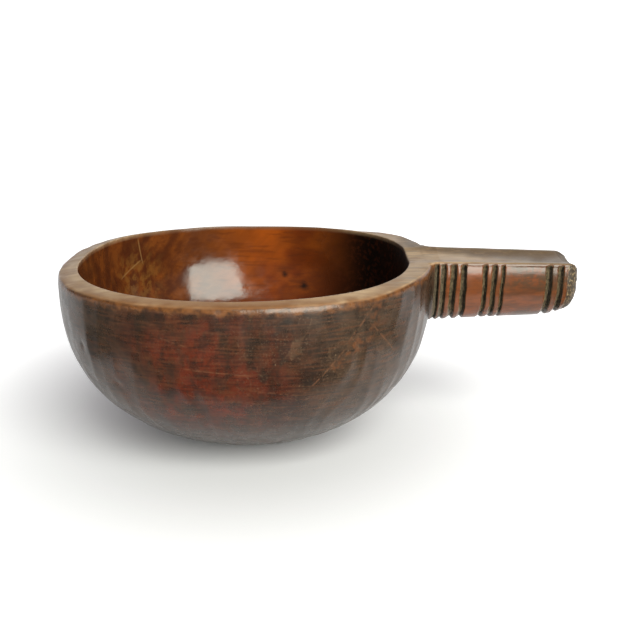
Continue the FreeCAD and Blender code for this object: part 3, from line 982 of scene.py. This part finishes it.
def groove_colour(tree, place):
    """Grime in the carved grooves, with painted shade turning the steep side towards the handle's end
    black.
    """
    grime = speckle(tree, place, 0.8, detail=4, shift=61)
    dirt = blend(tree, ramp_up(tree, grime, 0.38, 0.64), HANDLE["grime"], HANDLE["pale_grime"])
    # pale flecks on the groove edges: edge wear with painted highlights
    chips_and_glints = spots(tree, place, 1.4, (0.5, 0.62), detail=3, shift=63)
    edge = ramp_up(tree, mask(tree, "groove"), 0.4, 0.15)
    return paint(
        tree, dirt,
        # painted shade with grime: the steep side of each groove goes black
        (HANDLE["black_shade_and_grime"], mask(tree, "flank"), ramp_up(tree, grime, 0.7, 0.5), 0.92),
        (HANDLE["groove_edge_wear_and_glint"], edge, chips_and_glints, 0.6))


def end_colour(tree, place):
    """The handle's rough end: dark brown, flecked with pale chips."""
    fleck = spots(tree, place, 0.5, (0.5, 0.66), (1, 1, 0.6), detail=3, shift=67)
    return blend(tree, fleck, HANDLE["end"], HANDLE["end_chip"])


def wood_colour(tree, place):
    """Every colour of the cup, laid one over the other where its mask shows it."""
    on_handle = mask(tree, "handle")
    colour = outside_marks(tree, place, outside_colour(tree, place))
    colour = paint(tree, colour, (handle_colour(tree, place), on_handle))
    colour = worn_edge(tree, place, colour)
    # painted shade in the corner where the handle leaves the wall
    corner = patch(tree, place, *ROOT_SHADE)
    below = mask(tree, "below")
    lip = times(tree, ramp_up(tree, below, 0.05, 0.35), ramp_up(tree, below, 1.3, 0.6))
    uncovered = maths(tree, "SUBTRACT", 1.0, times(tree, mask(tree, "top"), 0.8))
    return paint(
        tree, colour,
        (OUTSIDE["corner"], corner, 0.85),
        (inside_colour(tree, place), mask(tree, "inside")),
        (top_colour(tree, place), mask(tree, "top")),
        (HANDLE["lip"], lip, on_handle, 0.65),
        (groove_colour(tree, place), ramp_up(tree, mask(tree, "groove"), 0.05, 0.3)),
        (end_colour(tree, place), mask(tree, "rough"), uncovered, 0.9))


def wood_roughness(tree, place, gloss):
    """Polished where the wood is handled, glossier inside, dull in the grooves and on bare wood."""
    worn = spots(tree, place, 5, (0.25, 0.75), detail=5, shift=71)
    rough = spread(tree, worn, gloss, gloss + 0.12)
    dull = maths(tree, "MAXIMUM", mask(tree, "groove"), mask(tree, "rough"))
    dull = maths(tree, "MAXIMUM", dull, times(tree, mask(tree, "top"), 0.65))
    dry = times(tree, ramp_up(tree, coordinate(tree, place, "X"), 20, 40), 0.4)
    inside = times(tree, mask(tree, "inside"), maths(tree, "SUBTRACT", dry, 0.14))
    return maths(tree, "ADD", maths(tree, "ADD", rough, times(tree, dull, 0.35)), inside)


def wood_shine(tree, place):
    """How strongly the wood mirrors: less on bare wood, and in the dry hollow beside the handle."""
    dry = ramp_up(tree, coordinate(tree, place, "X"), 12, 34)
    dry = times(tree, dry, mask(tree, "inside"), 0.42)
    dry = maths(tree, "MAXIMUM", dry, times(tree, mask(tree, "top"), 0.12))
    polished = maths(tree, "MAXIMUM", mask(tree, "inside"), mask(tree, "handle"))
    shine = maths(tree, "ADD", 0.45, times(tree, polished, 0.06))
    return maths(tree, "SUBTRACT", shine, dry)


def wood_bump(tree, place):
    """Fine unevenness: pores and tool marks, coarser in grooves, at the end and on the worn edge."""
    pores = times(tree, speckle(tree, place, 1.3, (0.5, 1, 1), detail=3, shift=81), 0.04)
    fine = times(tree, speckle(tree, place, 0.5, detail=2, shift=91), 0.014)
    deep = maths(tree, "ADD", 0.05, times(tree, mask(tree, "inside"), 0.04))
    ripple = speckle(tree, slanted(tree, place), 2.6, (0.4, 1, 1), detail=3, shift=95)
    ripple = times(tree, ripple, deep)
    coarse = maths(tree, "MAXIMUM", mask(tree, "groove"), mask(tree, "rough"))
    coarse = maths(tree, "MAXIMUM", coarse, ramp_up(tree, mask(tree, "below"), 3.5, 1.0))
    grit = times(tree, speckle(tree, place, 0.7, detail=3, shift=97), coarse, 0.1)
    height = maths(tree, "ADD", maths(tree, "ADD", pores, fine), maths(tree, "ADD", ripple, grit))
    return add_node(tree, "Bump", {"Height": height, "Distance": MM, "Strength": 0.5}).outputs[0]


def wood_material(name, gloss):
    """Carved wood, coloured by what each point of the cup is: outside, inside, top, groove or end."""
    material = bpy.data.materials.new(name)
    material.use_nodes = True
    tree = material.node_tree
    shader = tree.nodes["Principled BSDF"]
    metres = add_node(tree, "TexCoord").outputs["Object"]
    place = add_node(tree, "VectorMath", {0: metres, 1: (1 / MM, 1 / MM, 1 / MM)},
                     operation="MULTIPLY").outputs[0]
    tree.links.new(wood_colour(tree, place), shader.inputs["Base Color"])
    tree.links.new(wood_roughness(tree, place, gloss), shader.inputs["Roughness"])
    tree.links.new(wood_shine(tree, place), shader.inputs["Specular IOR Level"])
    tree.links.new(wood_bump(tree, place), shader.inputs["Normal"])
    return material


# ---------------- stage, light and camera
CARDS = (  # in metres: name, near left corner and far right corner
    ("card_front", (-0.6, -1.6), (0.8, -0.07)),
    ("card_left", (-0.6, -0.07), (-0.11, -0.01)),
    ("card_right", (0.13, -0.07), (0.8, 0.005)),
)
CARD_HEIGHT = 0.0005
FLOOR_HALF = 6


def make_plane(name, low, high, height, material):
    """A level rectangle between two corners, as part of the stage."""
    (left, front), (right, back) = low, high
    corners = [(left, front), (right, front), (right, back), (left, back)]
    mesh = bpy.data.meshes.new(name)
    mesh.from_pydata([(*corner, height) for corner in corners], [], [(0, 1, 2, 3)])
    mesh.materials.append(material)
    plane = add_object(name, mesh)
    return plane


def plain_material(name, colour, roughness):
    """One flat colour. It can glow white."""
    material = bpy.data.materials.new(name)
    material.use_nodes = True
    shader = material.node_tree.nodes["Principled BSDF"]
    shader.inputs["Base Color"].default_value = (*colour, 1)
    shader.inputs["Roughness"].default_value = roughness
    shader.inputs["Emission Color"].default_value = (1, 1, 1, 1)
    return material


def floor_material():
    """A pale floor that glows more further out, and not under the cup, where the missing glow is a
    painted shadow.
    """
    pale = plain_material("pale_floor", (0.87, 0.83, 0.88), 0.8)
    tree = pale.node_tree
    place = add_node(tree, "TexCoord").outputs["Object"]
    away = add_node(tree, "VectorMath", {0: place}, operation="LENGTH").outputs["Value"]
    values = {"Value": away, "From Min": 0.2, "From Max": 1.6, "To Min": 0.36, "To Max": 1.0}
    glow = add_node(tree, "MapRange", values).outputs[0]
    seen = times(tree, add_node(tree, "LightPath").outputs["Is Camera Ray"], 0.3)
    # no glow under the cup: a painted soft shadow
    glow = times(tree, maths(tree, "ADD", glow, seen), ramp_up(tree, away, 0.03, 0.17))
    tree.links.new(glow, tree.nodes["Principled BSDF"].inputs["Emission Strength"])
    return pale


def make_stage():
    """A pale floor, and dark cards that only the cup's reflections see."""
    make_plane("floor", (-FLOOR_HALF, -FLOOR_HALF), (FLOOR_HALF, FLOOR_HALF), 0, floor_material())
    dark = plain_material("dark", (0.1, 0.1, 0.1), 0.9)
    for name, low, high in CARDS:
        card = make_plane(name, low, high, CARD_HEIGHT, dark)
        card.visible_camera = False
        card.visible_diffuse = False
        card.visible_shadow = False


def make_window(azimuth, elevation, distance, size, power):
    """A soft rectangular light, like a window behind the camera, facing the cup."""
    data = bpy.data.lights.new("window", "AREA")
    data.shape = "RECTANGLE"
    data.size, data.size_y = size
    data.energy = power
    data.color = (0.94, 1.0, 0.90)
    light = add_object("window", data)
    level = math.cos(elevation)
    away = Vector((math.sin(azimuth) * level, -math.cos(azimuth) * level, math.sin(elevation)))
    cup_middle = Vector((0, 0, 0.05))
    light.location = cup_middle + away * distance
    light.rotation_euler = away.to_track_quat("Z", "Y").to_euler()
    light.visible_camera = False


def make_world():
    """White for the camera, and a softer room for the light on the cup."""
    world = bpy.data.worlds.new("studio")
    world.use_nodes = True
    tree = world.node_tree
    background = tree.nodes["Background"]
    background.inputs["Color"].default_value = (1, 1, 1, 1)
    direction = add_node(tree, "TexCoord").outputs["Generated"]
    behind = ramp_up(tree, coordinate(tree, direction, "Y"), 0.45, 0.9)
    low = ramp_up(tree, coordinate(tree, direction, "Z"), 0.8, 0.25)
    room = maths(tree, "ADD", times(tree, behind, low, 1.3), 0.12)
    seen = add_node(tree, "LightPath").outputs["Is Camera Ray"]
    tree.links.new(maths(tree, "MAXIMUM", room, seen), background.inputs["Strength"])
    bpy.context.scene.world = world


def make_camera():
    """The camera looks down at the cup at a low angle, with the handle on the right."""
    data = bpy.data.cameras.new("camera")
    data.sensor_width = 36
    data.lens = 53.0
    data.shift_x = 0.0213
    data.shift_y = 0.048
    data.clip_start = 0.01
    camera = add_object("camera", data)
    elevation = 0.3156
    distance = 345.8
    aim_x = 20.7
    aim_height = 30
    place = Vector((aim_x, -distance * math.cos(elevation),
                    aim_height + distance * math.sin(elevation)))
    facing = Euler((math.pi / 2 - elevation, 0, 0))
    turn = Matrix.Rotation(0.0145, 4, "Z")
    camera.matrix_world = turn @ Matrix.LocRotScale(place * MM, facing, None)
    bpy.context.scene.camera = camera


# ---------------- put together
bpy.context.scene.view_settings.view_transform = "Standard"
for make_piece, node, slot, gloss in ((make_bowl, "bowl", "bowl_wood", BOWL_GLOSS),
                                      (make_handle, "handle", "handle_wood", HANDLE_GLOSS)):
    piece = make_piece()
    piece.data.materials.append(wood_material(slot, gloss))
    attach(piece, "root")
    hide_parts(node)

make_stage()
make_world()
make_window(azimuth=math.radians(25), elevation=math.radians(24.5), distance=1.2,
            size=(0.84, 1.17), power=30)
make_camera()
